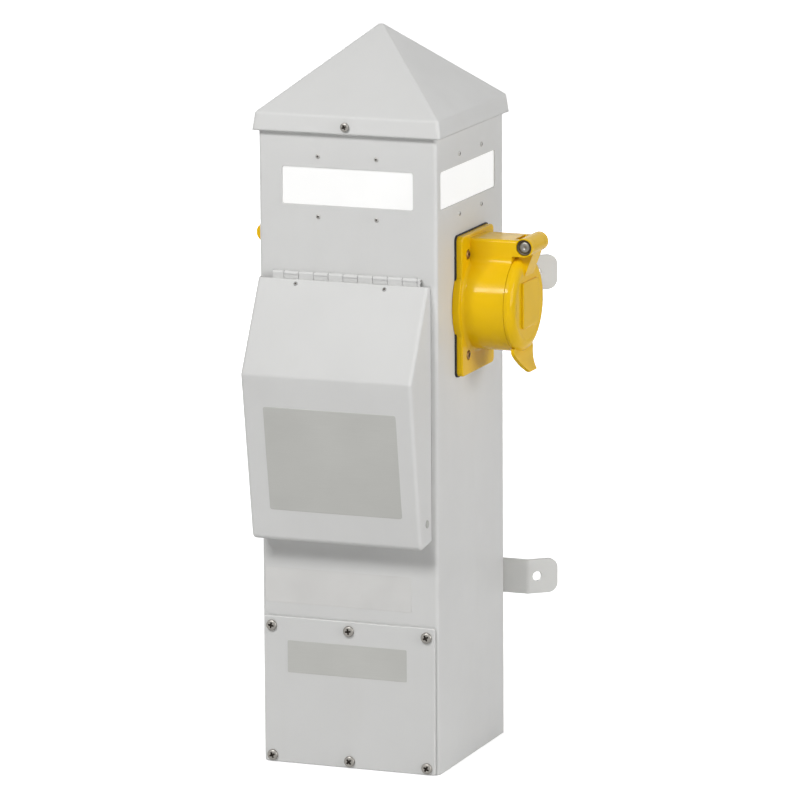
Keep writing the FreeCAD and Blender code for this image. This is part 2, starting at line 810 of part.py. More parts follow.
def service_screws():
    seat_y = -half - service_gasket_t - service_thickness
    length = service_gasket_t + service_thickness + post_wall + 4.0
    return Part.makeCompound([pan_screw(V(x, seat_y, z), V(0, -1, 0), screw_r, screw_head_r,
                                        screw_head, length) for x, z in service_screw_points()])


# Lift covers: built for a wall at X = 0 that faces +X, and then placed on the post
def plate_face():
    return cover_gasket_t + cover_plate_t


def cover_gasket():
    wide = cover_plate_width / 2.0 + cover_gasket_over
    high = cover_plate_height / 2.0 + cover_gasket_over
    sheet = plate_x(-wide, wide, cover_z - high, cover_z + high, 0.0, cover_gasket_t,
                    cover_plate_corner_r)
    holes = [rod(V(-1, y, z), V(1, 0, 0), screw_r + screw_fit, cover_gasket_t + 2.0)
             for y, z in cover_screw_points()]
    holes.append(rod(V(-1, 0, cover_z), V(1, 0, 0), receptacle_flange_r + receptacle_fit,
                     cover_gasket_t + 2.0))
    return sheet.cut(holes)


def cover_plate_body():
    # Plate with a round flange that reaches back past the gasket's sides, almost to the wall
    wide = cover_plate_width / 2.0
    high = cover_plate_height / 2.0
    plate = plate_x(-wide, wide, cover_z - high, cover_z + high, cover_gasket_t, plate_face(),
                    cover_plate_corner_r)
    flange = rod(V(cover_wall_gap, 0, cover_z), V(1, 0, 0), cover_flange_r,
                 plate_face() - cover_wall_gap)
    wide = wide + cover_gasket_over + cover_wall_gap
    behind = block(-1.0, cover_gasket_t, -wide, wide, cover_z - high, cover_z + high)
    body = plate.fuse(flange.cut(behind)).removeSplitter()
    face = [e for e in body.Edges if e.CenterOfMass.x > plate_face() - 0.01]
    return body.makeFillet(1.2, face)


def drum(mouth):
    # Cylinder that flares into the flange
    root = min(cover_root_r, mouth - plate_face())
    barrel = rod(V(cover_gasket_t, 0, cover_z), V(1, 0, 0), cover_drum_r, mouth - cover_gasket_t)
    x0 = plate_face()
    r0 = cover_drum_r
    lean = root * (1.0 - math.sqrt(0.5))
    corner = V(x0, 0, cover_z + r0 - 1.0)
    rim = V(x0, 0, cover_z + r0 + root)
    end = V(x0 + root, 0, cover_z + r0)
    inside = V(x0 + root, 0, cover_z + r0 - 1.0)
    edges = [Part.makeLine(corner, rim),
             Part.Arc(rim, V(x0 + lean, 0, cover_z + r0 + lean), end).toShape(),
             Part.makeLine(end, inside), Part.makeLine(inside, corner)]
    flare = Part.Face(Part.Wire(edges)).revolve(V(0, 0, cover_z), V(1, 0, 0), 360)
    return barrel.fuse(flare)


def beam_profile(x, low_z):
    # Upright box section with two rounded top corners
    high = cover_z + cover_block_up
    wide = cover_hinge_half
    corners = [(V(x, -wide, low_z), 0.0), (V(x, wide, low_z), 0.0), (V(x, wide, high), cover_top_r),
               (V(x, -wide, high), cover_top_r)]
    return Part.Face(rounded_wire(corners))


def side_blend(sign, length):
    # Concave fillet between the beam's side and the drum
    reach = cover_drum_r + cover_blend_r
    cy = cover_hinge_half + cover_blend_r
    cz = math.sqrt(reach * reach - cy * cy)
    on_side = V(0, sign * cover_hinge_half, cover_z + cz)
    on_drum = V(0, sign * cy * cover_drum_r / reach, cover_z + cz * cover_drum_r / reach)
    centre = V(0, sign * cy, cover_z + cz)
    toward = (on_side - centre) + (on_drum - centre)
    toward.normalize()
    inside = V(0, sign * (cover_hinge_half - 2.0), cover_z + cz * cover_drum_r / reach - 2.0)
    edges = [Part.makeLine(inside, on_side),
             Part.Arc(on_side, centre + toward * cover_blend_r, on_drum).toShape(),
             Part.makeLine(on_drum, inside)]
    fillet = Part.Face(Part.Wire(edges)).extrude(V(length, 0, 0))
    fillet.translate(V(cover_gasket_t, 0, 0))
    return fillet


def hinge_beam(mouth):
    # Beam from the plate over the drum, ending in the two ears of the lid's hinge
    beam = beam_profile(cover_gasket_t, cover_z + cover_block_low).extrude(V(mouth - cover_gasket_t, 0, 0))
    axis_x = mouth + cover_axis_out
    axis_z = cover_z + cover_axis_up
    low = axis_z - cover_barrel_r
    arm = beam_profile(mouth - 2.0, low).extrude(V(cover_axis_out + 2.0, 0, 0))
    barrel = rod(V(axis_x, -cover_hinge_half, axis_z), V(0, 1, 0), cover_barrel_r,
                 2.0 * cover_hinge_half)
    gap = cover_knuckle_half + lid_gap
    space = block(mouth, axis_x + 2.0 * cover_barrel_r, -gap, gap, low - 2.0,
                  axis_z + 2.0 * cover_barrel_r)
    ears = barrel.fuse(arm).removeSplitter().cut(space)
    return [beam, ears] + [side_blend(sign, mouth - cover_gasket_t) for sign in (-1, 1)]


def cover_housing(mouth):
    body = cover_plate_body().fuse([drum(mouth)] + hinge_beam(mouth)).removeSplitter()
    axis_x = mouth + cover_axis_out
    axis_z = cover_z + cover_axis_up
    bore = rod(V(plate_face(), 0, cover_z), V(1, 0, 0), cover_drum_r - cover_drum_wall, mouth)
    neck = rod(V(-1, 0, cover_z), V(1, 0, 0), receptacle_r + receptacle_fit, mouth + 5.0)
    seat = rod(V(-1, 0, cover_z), V(1, 0, 0), receptacle_flange_r + receptacle_fit,
               receptacle_flange_t + 1.0)
    pin = rod(V(axis_x, -cover_hinge_half - 1.0, axis_z), V(0, 1, 0), cover_pin_r,
              2.0 * cover_hinge_half + 2.0)
    recess = rod(V(axis_x, -cover_hinge_half - 1.0, axis_z), V(0, 1, 0), cover_recess_r,
                 cover_recess_depth + 1.0)
    cuts = [bore, neck, seat, pin, recess]
    for y, z in cover_screw_points():
        cuts.append(rod(V(-1, y, z), V(1, 0, 0), screw_r + screw_fit, plate_face() + 3.0))
        cuts.append(rod(V(plate_face() - cover_sink_depth, y, z), V(1, 0, 0), cover_sink_r, 4.0))
    return body.cut(cuts)


def lid_dome(mouth):
    start = mouth + lid_gap
    rim = start + lid_rim
    flat = start + lid_rise
    # Rim and crown joined by one arc that leaves the rim square to it
    drop = cover_drum_r - lid_flat_r
    bulge = 0.29
    middle = V(rim + (flat - rim) * (1.0 - bulge), 0, cover_z + cover_drum_r - drop * bulge)
    points = [V(start, 0, cover_z), V(start, 0, cover_z + cover_drum_r),
              V(rim, 0, cover_z + cover_drum_r), V(flat, 0, cover_z + lid_flat_r),
              V(flat, 0, cover_z)]
    edges = [Part.makeLine(points[0], points[1]), Part.makeLine(points[1], points[2]),
             Part.Arc(points[2], middle, points[3]).toShape(),
             Part.makeLine(points[3], points[4]), Part.makeLine(points[4], points[0])]
    return Part.Face(Part.Wire(edges)).revolve(V(0, 0, cover_z), V(1, 0, 0), 360)


def lid_pad(mouth):
    start = mouth + lid_gap + lid_rise
    pad = plate_x(-lid_pad_half, lid_pad_half, cover_z - lid_pad_low, cover_z + lid_pad_high,
                  start - 1.0, start + lid_pad_rise, 2.5)
    face = [e for e in pad.Edges if e.CenterOfMass.x > start + lid_pad_rise - 0.01]
    return pad.makeFillet(1.0, face)


def lid_neck(mouth):
    # Web from the knuckle down into the crown, above the pad
    axis_x = mouth + cover_axis_out
    axis_z = cover_z + cover_axis_up
    start = mouth + lid_gap
    side = cover_barrel_r * 0.94
    foot_z = cover_z + lid_pad_high + 4.0
    rim_z = cover_z + lid_flat_r
    crown_x = start + lid_rise
    corners = [V(axis_x - side, -cover_knuckle_half, axis_z),
               V(axis_x + side, -cover_knuckle_half, axis_z),
               V(crown_x, -cover_knuckle_half, foot_z),
               V(start + lid_shell, -cover_knuckle_half, foot_z),
               V(start + lid_shell, -cover_knuckle_half, rim_z)]
    web = Part.Face(Part.makePolygon(corners + [corners[0]]))
    web = web.extrude(V(0, 2.0 * cover_knuckle_half, 0))
    barrel = rod(V(axis_x, -cover_knuckle_half, axis_z), V(0, 1, 0), cover_barrel_r,
                 2.0 * cover_knuckle_half)
    return [web, barrel]


def lid_tab(mouth):
    # Finger tab: a lip that leaves the rim, curls outward and is cut to a taper
    start = mouth + lid_gap
    top = V(start, 0, cover_z - cover_drum_r + lid_tab_root)
    middle = V(start + lid_tab_mid_out - lid_tab_t, 0, cover_z - (cover_drum_r + lid_tab_drop) / 2.0)
    tip = V(start + lid_tab_out - lid_tab_t, 0, cover_z - lid_tab_drop)
    shift = V(lid_tab_t, 0, 0.9)
    outline = [Part.Arc(top, middle, tip).toShape(), Part.makeLine(tip, tip + shift),
               Part.Arc(tip + shift, middle + V(lid_tab_t, 0, 1.4),
                        top + V(lid_tab_t, 0, 0)).toShape(),
               Part.makeLine(top + V(lid_tab_t, 0, 0), top)]
    lip = Part.Face(Part.Wire(outline)).extrude(V(0, 2.0 * lid_tab_half, 0))
    lip.translate(V(0, -lid_tab_half, 0))
    tip_z = cover_z - lid_tab_drop
    shape = [(V(0, -lid_tab_half, top.z + 1.0), 0.0), (V(0, lid_tab_half, top.z + 1.0), 0.0),
             (V(0, lid_tab_half, top.z - 4.5), 5.0), (V(0, lid_tab_tip_half, tip_z), 5.0),
             (V(0, -lid_tab_tip_half, tip_z), 5.0), (V(0, -lid_tab_half, top.z - 4.5), 5.0)]
    taper = Part.Face(rounded_wire(shape)).extrude(V(mouth + 40.0, 0, 0))
    return lip.common(taper)


def cover_lid(mouth):
    start = mouth + lid_gap
    body = lid_dome(mouth).fuse([lid_pad(mouth), lid_tab(mouth)] + lid_neck(mouth))
    body = body.removeSplitter()
    axis_x = mouth + cover_axis_out
    axis_z = cover_z + cover_axis_up
    outer = cover_drum_r - lid_seal_inset
    hollow = rod(V(start - 1.0, 0, cover_z), V(1, 0, 0), outer - lid_seal_wall - 1.0,
                 lid_rise - lid_shell + 1.0)
    groove = tube(V(start - 1.0, 0, cover_z), V(1, 0, 0), outer, outer - lid_seal_wall,
                  lid_seal_t + 1.0)
    pin = rod(V(axis_x, -cover_hinge_half, axis_z), V(0, 1, 0), cover_pin_r + 0.08,
              2.0 * cover_hinge_half)
    spring = rod(V(axis_x, -cover_spring_half - 0.3, axis_z), V(0, 1, 0), cover_spring_r + 0.4,
                 2.0 * cover_spring_half + 0.6)
    return body.cut([hollow, groove, pin, spring])


def lid_seal(mouth):
    outer = cover_drum_r - lid_seal_inset
    return tube(V(mouth + lid_gap, 0, cover_z), V(1, 0, 0), outer, outer - lid_seal_wall,
                lid_seal_t)


def lid_pin(mouth):
    axis_x = mouth + cover_axis_out
    axis_z = cover_z + cover_axis_up
    seat = V(axis_x, -cover_hinge_half + cover_recess_depth, axis_z)
    return pan_screw(seat, V(0, -1, 0), cover_pin_r, cover_pin_head_r, cover_pin_head,
                     2.0 * cover_hinge_half - cover_recess_depth - 1.0)


def lid_spring(mouth):
    axis_x = mouth + cover_axis_out
    axis_z = cover_z + cover_axis_up
    return tube(V(axis_x, -cover_spring_half, axis_z), V(0, 1, 0), cover_spring_r,
                cover_spring_r - 1.2, 2.0 * cover_spring_half)


def receptacle(face_out, twist):
    flange = rod(V(0, 0, cover_z), V(1, 0, 0), receptacle_flange_r, receptacle_flange_t)
    body = rod(V(-receptacle_depth, 0, cover_z), V(1, 0, 0), receptacle_r,
               receptacle_depth + face_out)
    rims = [e for e in body.Edges if abs(e.CenterOfMass.x + receptacle_depth) < 0.01
            or abs(e.CenterOfMass.x - face_out) < 0.01]
    body = body.makeFillet(1.5, rims).fuse(flange).removeSplitter()
    slots = []
    deep = face_out - 9.0
    if twist:
        ring = tube(V(deep, 0, cover_z), V(1, 0, 0), 14.5, 11.5, 12.0)
        for angle in (90, 210, 330):
            wedge = block(deep, deep + 12.0, 0.0, 20.0, cover_z - 5.0, cover_z + 5.0)
            wedge.rotate(V(0, 0, cover_z), V(1, 0, 0), angle)
            slots.append(ring.common(wedge))
    else:
        slots.append(block(deep, deep + 12.0, -8.0, -6.0, cover_z - 4.0, cover_z + 4.0))
        slots.append(block(deep, deep + 12.0, 6.0, 8.0, cover_z - 4.0, cover_z + 4.0))
        slots.append(rod(V(deep, 0, cover_z - 11.0), V(1, 0, 0), 2.6, 12.0))
    return body.cut(slots)


def cover_screws():
    seat_x = plate_face() - cover_sink_depth
    return Part.makeCompound([pan_screw(V(seat_x, y, z), V(1, 0, 0), screw_r,
                                        screw_head_r * 0.78, screw_head,
                                        seat_x + post_wall + 5.0)
                              for y, z in cover_screw_points()])


def cover_set(prefix, mouth, face_out, twist, angle):
    shapes = {
        "gasket": cover_gasket(),
        "housing": cover_housing(mouth),
        "lid": cover_lid(mouth),
        "lid_seal": lid_seal(mouth),
        "lid_pin": lid_pin(mouth),
        "lid_spring": lid_spring(mouth),
        "receptacle": receptacle(face_out, twist),
        "cover_screws": cover_screws(),
    }
    placed = {}
    for name, shape in shapes.items():
        shape.translate(V(half, 0, 0))
        placed[prefix + "_" + name] = turned(shape, angle)
    return placed


# Rear straps
def strap(centre_z):
    lean = math.radians(strap_ear_angle)
    low = centre_z - strap_height / 2.0
    tip = (strap_flat_half + strap_ear * math.cos(lean), half + strap_ear * math.sin(lean))
    path = [(-tip[0], tip[1]), (-strap_flat_half, half), (strap_flat_half, half), tip]
    other = offset_strip(path, strap_thickness)
    inner_r = strap_bend_r
    outer_r = strap_bend_r + strap_thickness
    corners = [(V(path[0][0], path[0][1], low), 0.0), (V(path[1][0], path[1][1], low), outer_r),
               (V(path[2][0], path[2][1], low), outer_r), (V(path[3][0], path[3][1], low), 0.0),
               (V(other[3][0], other[3][1], low), 0.0), (V(other[2][0], other[2][1], low), inner_r),
               (V(other[1][0], other[1][1], low), inner_r), (V(other[0][0], other[0][1], low), 0.0)]
    body = Part.Face(rounded_wire(corners)).extrude(V(0, 0, strap_height))
    ends = [e for e in body.Edges if abs(e.CenterOfMass.x) > tip[0] - strap_thickness
            and e.Length < strap_thickness * 1.2
            and (e.CenterOfMass.z < low + 0.01 or e.CenterOfMass.z > low + strap_height - 0.01)]
    body = body.makeFillet(strap_end_r, ends)
    holes = [rod(V(x, half - 1.0, centre_z), V(0, 1, 0), strap_bolt_r + screw_fit,
                 strap_thickness + 2.0) for x in (-strap_bolt_x, strap_bolt_x)]
    for sign in (-1, 1):
        mid_x = sign * (strap_flat_half + strap_hole_along * math.cos(lean))
        mid_y = half + strap_hole_along * math.sin(lean)
        axis = V(-sign * math.sin(lean), math.cos(lean), 0)
        holes.append(rod(V(mid_x, mid_y, centre_z) - axis * 2.0, axis, strap_hole_r,
                         strap_thickness + 4.0))
    return body.cut(holes)


def strap_bolts():
    seat_y = half + strap_thickness
    length = strap_thickness + post_wall + strap_nut_height + 2.0
    return Part.makeCompound([pan_screw(V(x, seat_y, z), V(0, 1, 0), strap_bolt_r,
                                        strap_bolt_head_r, strap_bolt_head, length)
                              for x, z in strap_bolt_points()])


def strap_nuts():
    nuts = []
    for x, z in strap_bolt_points():
        points = []
        for i in range(6):
            turn = math.radians(60 * i)
            reach = strap_nut_half / math.cos(math.radians(30))
            points.append(V(x + reach * math.cos(turn), inner, z + reach * math.sin(turn)))
        nut = Part.Face(Part.makePolygon(points + [points[0]])).extrude(V(0, -strap_nut_height, 0))
        nuts.append(nut.cut(rod(V(x, inner + 1.0, z), V(0, -1, 0), strap_bolt_r,
                                strap_nut_height + 2.0)))
    return Part.makeCompound(nuts)


# Feeder terminals and ground bar
def terminal_pole_centres():
    pitch = (2.0 * terminal_half_width - terminal_barrier) / terminal_poles
    first = -terminal_half_width + terminal_barrier / 2.0 + pitch / 2.0
    return [first + i * pitch for i in range(terminal_poles)], pitch


def terminal_block():
    high = terminal_height / 2.0
    body = block(-terminal_half_width, terminal_half_width, inner - terminal_depth, inner,
                 terminal_z - high, terminal_z + high)
    centres, pitch = terminal_pole_centres()
    wide = (pitch - terminal_barrier) / 2.0
    cuts = []
    for x in centres:
        for sign in (-1, 1):
            z0 = terminal_z + sign * terminal_height / 3.4
            cuts.append(block(x - wide, x + wide, inner - terminal_depth - 1.0,
                              inner - terminal_depth + terminal_step,
                              min(z0, terminal_z + sign * (high + 1.0)),
                              max(z0, terminal_z + sign * (high + 1.0))))
        cuts.append(block(x - wide, x + wide, inner - terminal_depth - 1.0,
                          inner - terminal_depth + terminal_step * 0.5,
                          terminal_z - high - 1.0, terminal_z + high + 1.0))
    return body.cut(cuts)


def terminal_screws():
    centres, pitch = terminal_pole_centres()
    seat_y = inner - terminal_depth + terminal_step * 0.5
    return Part.makeCompound([rod(V(x, seat_y, terminal_z + z), V(0, -1, 0), 3.4, 2.6)
                              for x in centres for z in (-5.0, 5.0)])


def ground_bar():
    reach = ground_length / 2.0
    high = ground_bar_height / 2.0
    x0 = -inner + ground_standoff
    bar = block(x0, x0 + ground_bar_depth, -reach, reach, ground_z - high, ground_z + high)
    feet = [block(-inner, x0, s * reach - (s + 1) * 4.0, s * reach - (s - 1) * 4.0,
                  ground_z - high, ground_z + high) for s in (-1, 1)]
    return bar.fuse(feet).removeSplitter()


def ground_screws():
    seat_x = -inner + ground_standoff + ground_bar_depth
    step = ground_length / (ground_screw_count + 1.0)
    return Part.makeCompound([rod(V(seat_x, -ground_length / 2.0 + step * (i + 1), ground_z),
                                  V(1, 0, 0), 3.0, 2.4) for i in range(ground_screw_count)])


def all_nodes():
    nodes = {
        "post_shell": post_shell(),
        "pyramid_cap": pyramid_cap(),
        "cap_screws": cap_screws(),
        "lens_front": lens(0),
        "lens_right": lens(1),
        "lens_back": lens(2),
        "lens_left": lens(3),
        "lens_screws": lens_screws(),
        "lamp_bracket": lamp_bracket(),
        "lamp_bracket_screws": lamp_bracket_screws(),
        "lamp_socket": lamp_socket(),
        "lamp_bulb": lamp_bulb(),
        "breaker_hood": hood(),
        "hood_rivets": hood_rivets(),
        "hinge_post_leaf": hinge_post_leaf(),
        "hinge_hood_leaf": hinge_hood_leaf_shape(),
        "hinge_pin": hinge_pin(),
        "hinge_post_rivets": hinge_post_rivets(),
        "dead_front_plate": dead_front_plate(),
        "dead_front_screws": dead_front_screws(),
        "breaker_tray": breaker_tray(),
        "service_cover": service_cover(),
        "service_gasket": service_gasket(),
        "service_screws": service_screws(),
        "upper_strap": strap(strap_top_z),
        "lower_strap": strap(strap_low_z),
        "strap_bolts": strap_bolts(),
        "strap_nuts": strap_nuts(),
        "terminal_block": terminal_block(),
        "terminal_screws": terminal_screws(),
        "ground_bar": ground_bar(),
        "ground_screws": ground_screws(),
    }
    for side, x in breaker_centres().items():
        nodes["breaker_" + side] = breaker(x)
        nodes["toggle_" + side] = toggle(x)
    nodes.update(cover_set("right", right_drum_out, right_face_out, True, 0))
    nodes.update(cover_set("left", left_drum_out, left_face_out, False, 180))
    return nodes


os.makedirs("parts", exist_ok=True)
for name, shape in all_nodes().items():
    shape.exportStep("parts/" + name + ".step")
    print(name, len(shape.Solids), round(shape.Volume, 1), shape.isValid())
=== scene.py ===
import math

import bmesh
import bpy
from mathutils import Matrix, Vector


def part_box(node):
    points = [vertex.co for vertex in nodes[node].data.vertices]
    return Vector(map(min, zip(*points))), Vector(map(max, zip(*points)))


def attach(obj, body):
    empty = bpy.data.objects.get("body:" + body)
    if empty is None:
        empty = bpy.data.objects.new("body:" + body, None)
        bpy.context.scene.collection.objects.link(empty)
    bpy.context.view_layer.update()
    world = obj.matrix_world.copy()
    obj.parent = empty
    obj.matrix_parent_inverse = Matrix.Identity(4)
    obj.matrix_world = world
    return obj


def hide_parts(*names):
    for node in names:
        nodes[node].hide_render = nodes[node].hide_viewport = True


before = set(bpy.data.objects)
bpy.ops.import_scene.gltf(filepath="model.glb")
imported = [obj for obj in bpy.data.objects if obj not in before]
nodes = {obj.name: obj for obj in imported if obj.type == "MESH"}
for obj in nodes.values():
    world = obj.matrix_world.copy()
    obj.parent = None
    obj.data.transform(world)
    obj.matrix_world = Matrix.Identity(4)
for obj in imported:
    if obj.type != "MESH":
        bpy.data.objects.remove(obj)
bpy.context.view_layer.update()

MM = 0.001
same_place = 0.01 * MM

# Places of the CAD solids that the extra pieces sit on, in millimetres. Proud is the
# distance in front of the post's front face.
post_front = -76.2
hood_middle = -2.5
hood_half_width = 73.2
hood_top_proud, hood_top_z = 5.5, 400.6
hood_bend_proud, hood_bend_z = 44.5, 328.6
hood_foot_proud, hood_foot_z = 22.6, 189.2
lock_hole_proud, lock_hole_rise = 10.0, 20.2
lid_pin_seat_y = -13.8
first_notch_x = -53.35
notch_pitch = 25.4
notch_length = 12.4
notch_count = 5
cover_proud = 3.4

# Bare labels and the film, also in millimetres: middles as (x, z), and sizes as (width,
# height, thickness, corner radius). The hood's label is that far down its slope.
hood_label_drop = 70.3
hood_label_x = -1.0
hood_label_size = (113.6, 87.5, 0.2, 1.8)
cover_label_middle = (-1.7, 89.4)
cover_label_size = (103.2, 26.5, 0.2, 1.0)
film_middle = (-10.5, 147.5)
film_size = (127.0, 29.0, 0.05, 1.5)


# Materials
class Graph:
    """Small helper round a material's node tree."""

    def __init__(self, name):
        self.material = bpy.data.materials.new(name)
        self.material.use_nodes = True
        self.tree = self.material.node_tree
        self.tree.nodes.clear()
        self.out = self.tree.nodes.new("ShaderNodeOutputMaterial")
        self.shader = self.tree.nodes.new("ShaderNodeBsdfPrincipled")
        self.link(self.shader.outputs[0], self.out.inputs[0])
        self.coords = self.tree.nodes.new("ShaderNodeTexCoord")

    def node(self, kind, **values):
        made = self.tree.nodes.new(kind)
        for key, value in values.items():
            setattr(made, key, value)
        return made

    def link(self, source, target):
        self.tree.links.new(source, target)

    def noise(self, scale, detail=2.0, roughness=0.5, stretch=None):
        made = self.node("ShaderNodeTexNoise")
        made.inputs["Scale"].default_value = scale
        made.inputs["Detail"].default_value = detail
        made.inputs["Roughness"].default_value = roughness
        source = self.coords.outputs["Object"]
        if stretch:
            mapping = self.node("ShaderNodeMapping")
            mapping.inputs["Scale"].default_value = stretch
            self.link(source, mapping.inputs[0])
            source = mapping.outputs[0]
        self.link(source, made.inputs["Vector"])
        return made.outputs["Fac"]

    def ramp(self, source, low, high, start=0.3, end=0.7):
        made = self.node("ShaderNodeMapRange")
        made.inputs["From Min"].default_value = start
        made.inputs["From Max"].default_value = end
        made.inputs["To Min"].default_value = low
        made.inputs["To Max"].default_value = high
        self.link(source, made.inputs["Value"])
        return made.outputs[0]

    def mix(self, factor, first, second):
        # Inputs 6 and 7 and output 2 are the ones for colours
        made = self.node("ShaderNodeMix", data_type="RGBA")
        for value, socket in ((factor, made.inputs[0]), (first, made.inputs[6]),
                              (second, made.inputs[7])):
            if hasattr(value, "is_output"):
                self.link(value, socket)
            else:
                socket.default_value = value
        return made.outputs[2]

    def bump(self, layers, edge=0.0):
        # Layers of (source, strength, distance) on top of softened edges
        normal = None
        if edge:
            bevel = self.node("ShaderNodeBevel", samples=4)
            bevel.inputs["Radius"].default_value = edge
            normal = bevel.outputs[0]
        for source, strength, distance in layers:
            made = self.node("ShaderNodeBump")
            made.inputs["Strength"].default_value = strength
            made.inputs["Distance"].default_value = distance
            self.link(source, made.inputs["Height"])
            if normal:
                self.link(normal, made.inputs["Normal"])
            normal = made.outputs[0]
        self.link(normal, self.shader.inputs["Normal"])

    def edges(self, radius):
        # Close to 1 on sharp outer and inner edges, 0 on flat ground
        bevel = self.node("ShaderNodeBevel", samples=4)
        bevel.inputs["Radius"].default_value = radius
        geometry = self.node("ShaderNodeNewGeometry")
        dot = self.node("ShaderNodeVectorMath", operation="DOT_PRODUCT")
        self.link(bevel.outputs[0], dot.inputs[0])
        self.link(geometry.outputs["Normal"], dot.inputs[1])
        return self.ramp(dot.outputs["Value"], 1.0, 0.0, 0.7, 0.98)


def rgb(color, gain=1.0):
    return tuple(min(c * gain, 1.0) for c in color) + (1.0,)


def powder_coat(name, color, rough=0.44, grain=1.0, dirt=0.05, level=0.35, edge=0.0007):
    # Sprayed paint: orange peel, faint runs of dirt, and sharp edges, outer and inner alike,
    # toned a little towards mid grey
    g = Graph(name)
    g.shader.inputs["Specular IOR Level"].default_value = level
    broad = g.noise(9.0, 3.0, 0.55)
    fine = g.noise(1100.0, 2.0, 0.5)
    orange_peel = g.noise(420.0, 1.0, 0.4)
    tone = g.mix(g.ramp(broad, 0.0, 1.0), rgb(color, 1.0 - dirt), rgb(color, 1.0))
    streak = g.noise(14.0, 4.0, 0.6, stretch=(3.0, 3.0, 0.5))
    tone = g.mix(g.ramp(streak, 0.0, dirt * 4.0, 0.55, 0.85), tone, rgb((0.62, 0.61, 0.58)))
    tone = g.mix(g.ramp(g.edges(0.0009), 0.0, 0.10, 0.0, 1.0), tone, rgb((0.60, 0.60, 0.60)))
    g.link(tone, g.shader.inputs["Base Color"])
    g.link(g.ramp(g.noise(60.0, 3.0), rough - 0.05, rough + 0.07), g.shader.inputs["Roughness"])
    g.bump([(orange_peel, 0.10 * grain, 0.0004), (fine, 0.05 * grain, 0.0002)], edge)
    return g.material


def moulded(name, color, rough, grain=0.6, spread=0.05, level=0.5):
    # Plastic with broad clouds of colour, darker edges and a fine mould grain
    g = Graph(name)
    g.shader.inputs["Specular IOR Level"].default_value = level
    broad = g.noise(22.0, 3.0)
    tone = g.mix(g.ramp(broad, 0.0, 1.0), rgb(color, 1.0 - spread), rgb(color, 1.0 + spread))
    tone = g.mix(g.ramp(g.edges(0.0006), 0.0, 0.18, 0.0, 1.0), tone, rgb(color, 0.8))
    g.link(tone, g.shader.inputs["Base Color"])
    g.link(g.ramp(g.noise(90.0, 2.0), rough - 0.04, rough + 0.06), g.shader.inputs["Roughness"])
    g.bump([(g.noise(700.0, 2.0), 0.06 * grain, 0.0003),
            (g.noise(60.0, 1.0), 0.10 * grain, 0.0006)], 0.0005)
    return g.material


def metal(name, color, rough, stretch=(1.0, 1.0, 1.0), scale=600.0, spread=0.12):
    # Bare metal with a grain, stretched where it is rolled, and dull patches
    g = Graph(name)
    grain = g.noise(scale, 3.0, 0.6, stretch=stretch)
    tone = g.mix(g.ramp(grain, 0.0, 1.0), rgb(color, 1.0 - spread), rgb(color, 1.0))
    tone = g.mix(g.ramp(g.noise(40.0, 4.0), 0.0, 0.25, 0.5, 0.9), tone, rgb(color, 0.6))
    g.link(tone, g.shader.inputs["Base Color"])
    g.shader.inputs["Metallic"].default_value = 1.0
    g.link(g.ramp(grain, rough - 0.07, rough + 0.1), g.shader.inputs["Roughness"])
    g.bump([(grain, 0.12, 0.0002)], 0.0004)
    return g.material


def foil(name, color):
    # Satin foil with a faint grain along its length
    g = Graph(name)
    grain = g.noise(300.0, 2.0, 0.5, stretch=(0.2, 6.0, 6.0))
    cloud = g.noise(16.0, 2.0)
    tone = g.mix(g.ramp(cloud, 0.0, 1.0), rgb(color, 0.95), rgb(color, 1.03))
    tone = g.mix(g.ramp(grain, 0.0, 0.3), tone, rgb(color, 0.93))
    g.link(tone, g.shader.inputs["Base Color"])
    g.shader.inputs["Metallic"].default_value = 0.25
    g.link(g.ramp(grain, 0.42, 0.52), g.shader.inputs["Roughness"])
    g.bump([(grain, 0.05, 0.0002)])
    return g.material


def rubber(name, color):
    # Matt and dusty
    g = Graph(name)
    tone = g.mix(g.ramp(g.noise(160.0, 4.0), 0.0, 1.0), rgb(color, 0.7), rgb(color, 1.5))
    g.link(tone, g.shader.inputs["Base Color"])
    g.link(g.ramp(g.noise(200.0), 0.6, 0.85), g.shader.inputs["Roughness"])
    g.bump([(g.noise(1500.0, 2.0), 0.25, 0.0002)])
    return g.material


def opal(name, color, shade, glow):
    # Lit plastic: its own colour is a shade of the light that it lets through
    g = Graph(name)
    cloud = g.ramp(g.noise(30.0, 2.0), 0.0, 1.0)
    g.link(g.mix(cloud, rgb(color, shade * 0.97), rgb(color, shade)),
           g.shader.inputs["Base Color"])
    g.link(g.mix(cloud, rgb(color, 0.97), rgb(color)), g.shader.inputs["Emission Color"])
    g.link(g.ramp(g.noise(14.0, 1.0), glow * 0.96, glow), g.shader.inputs["Emission Strength"])
    g.link(g.ramp(g.noise(300.0), 0.28, 0.4), g.shader.inputs["Roughness"])
    g.bump([(g.noise(500.0, 2.0), 0.08, 0.0003)], 0.0005)
    return g.material


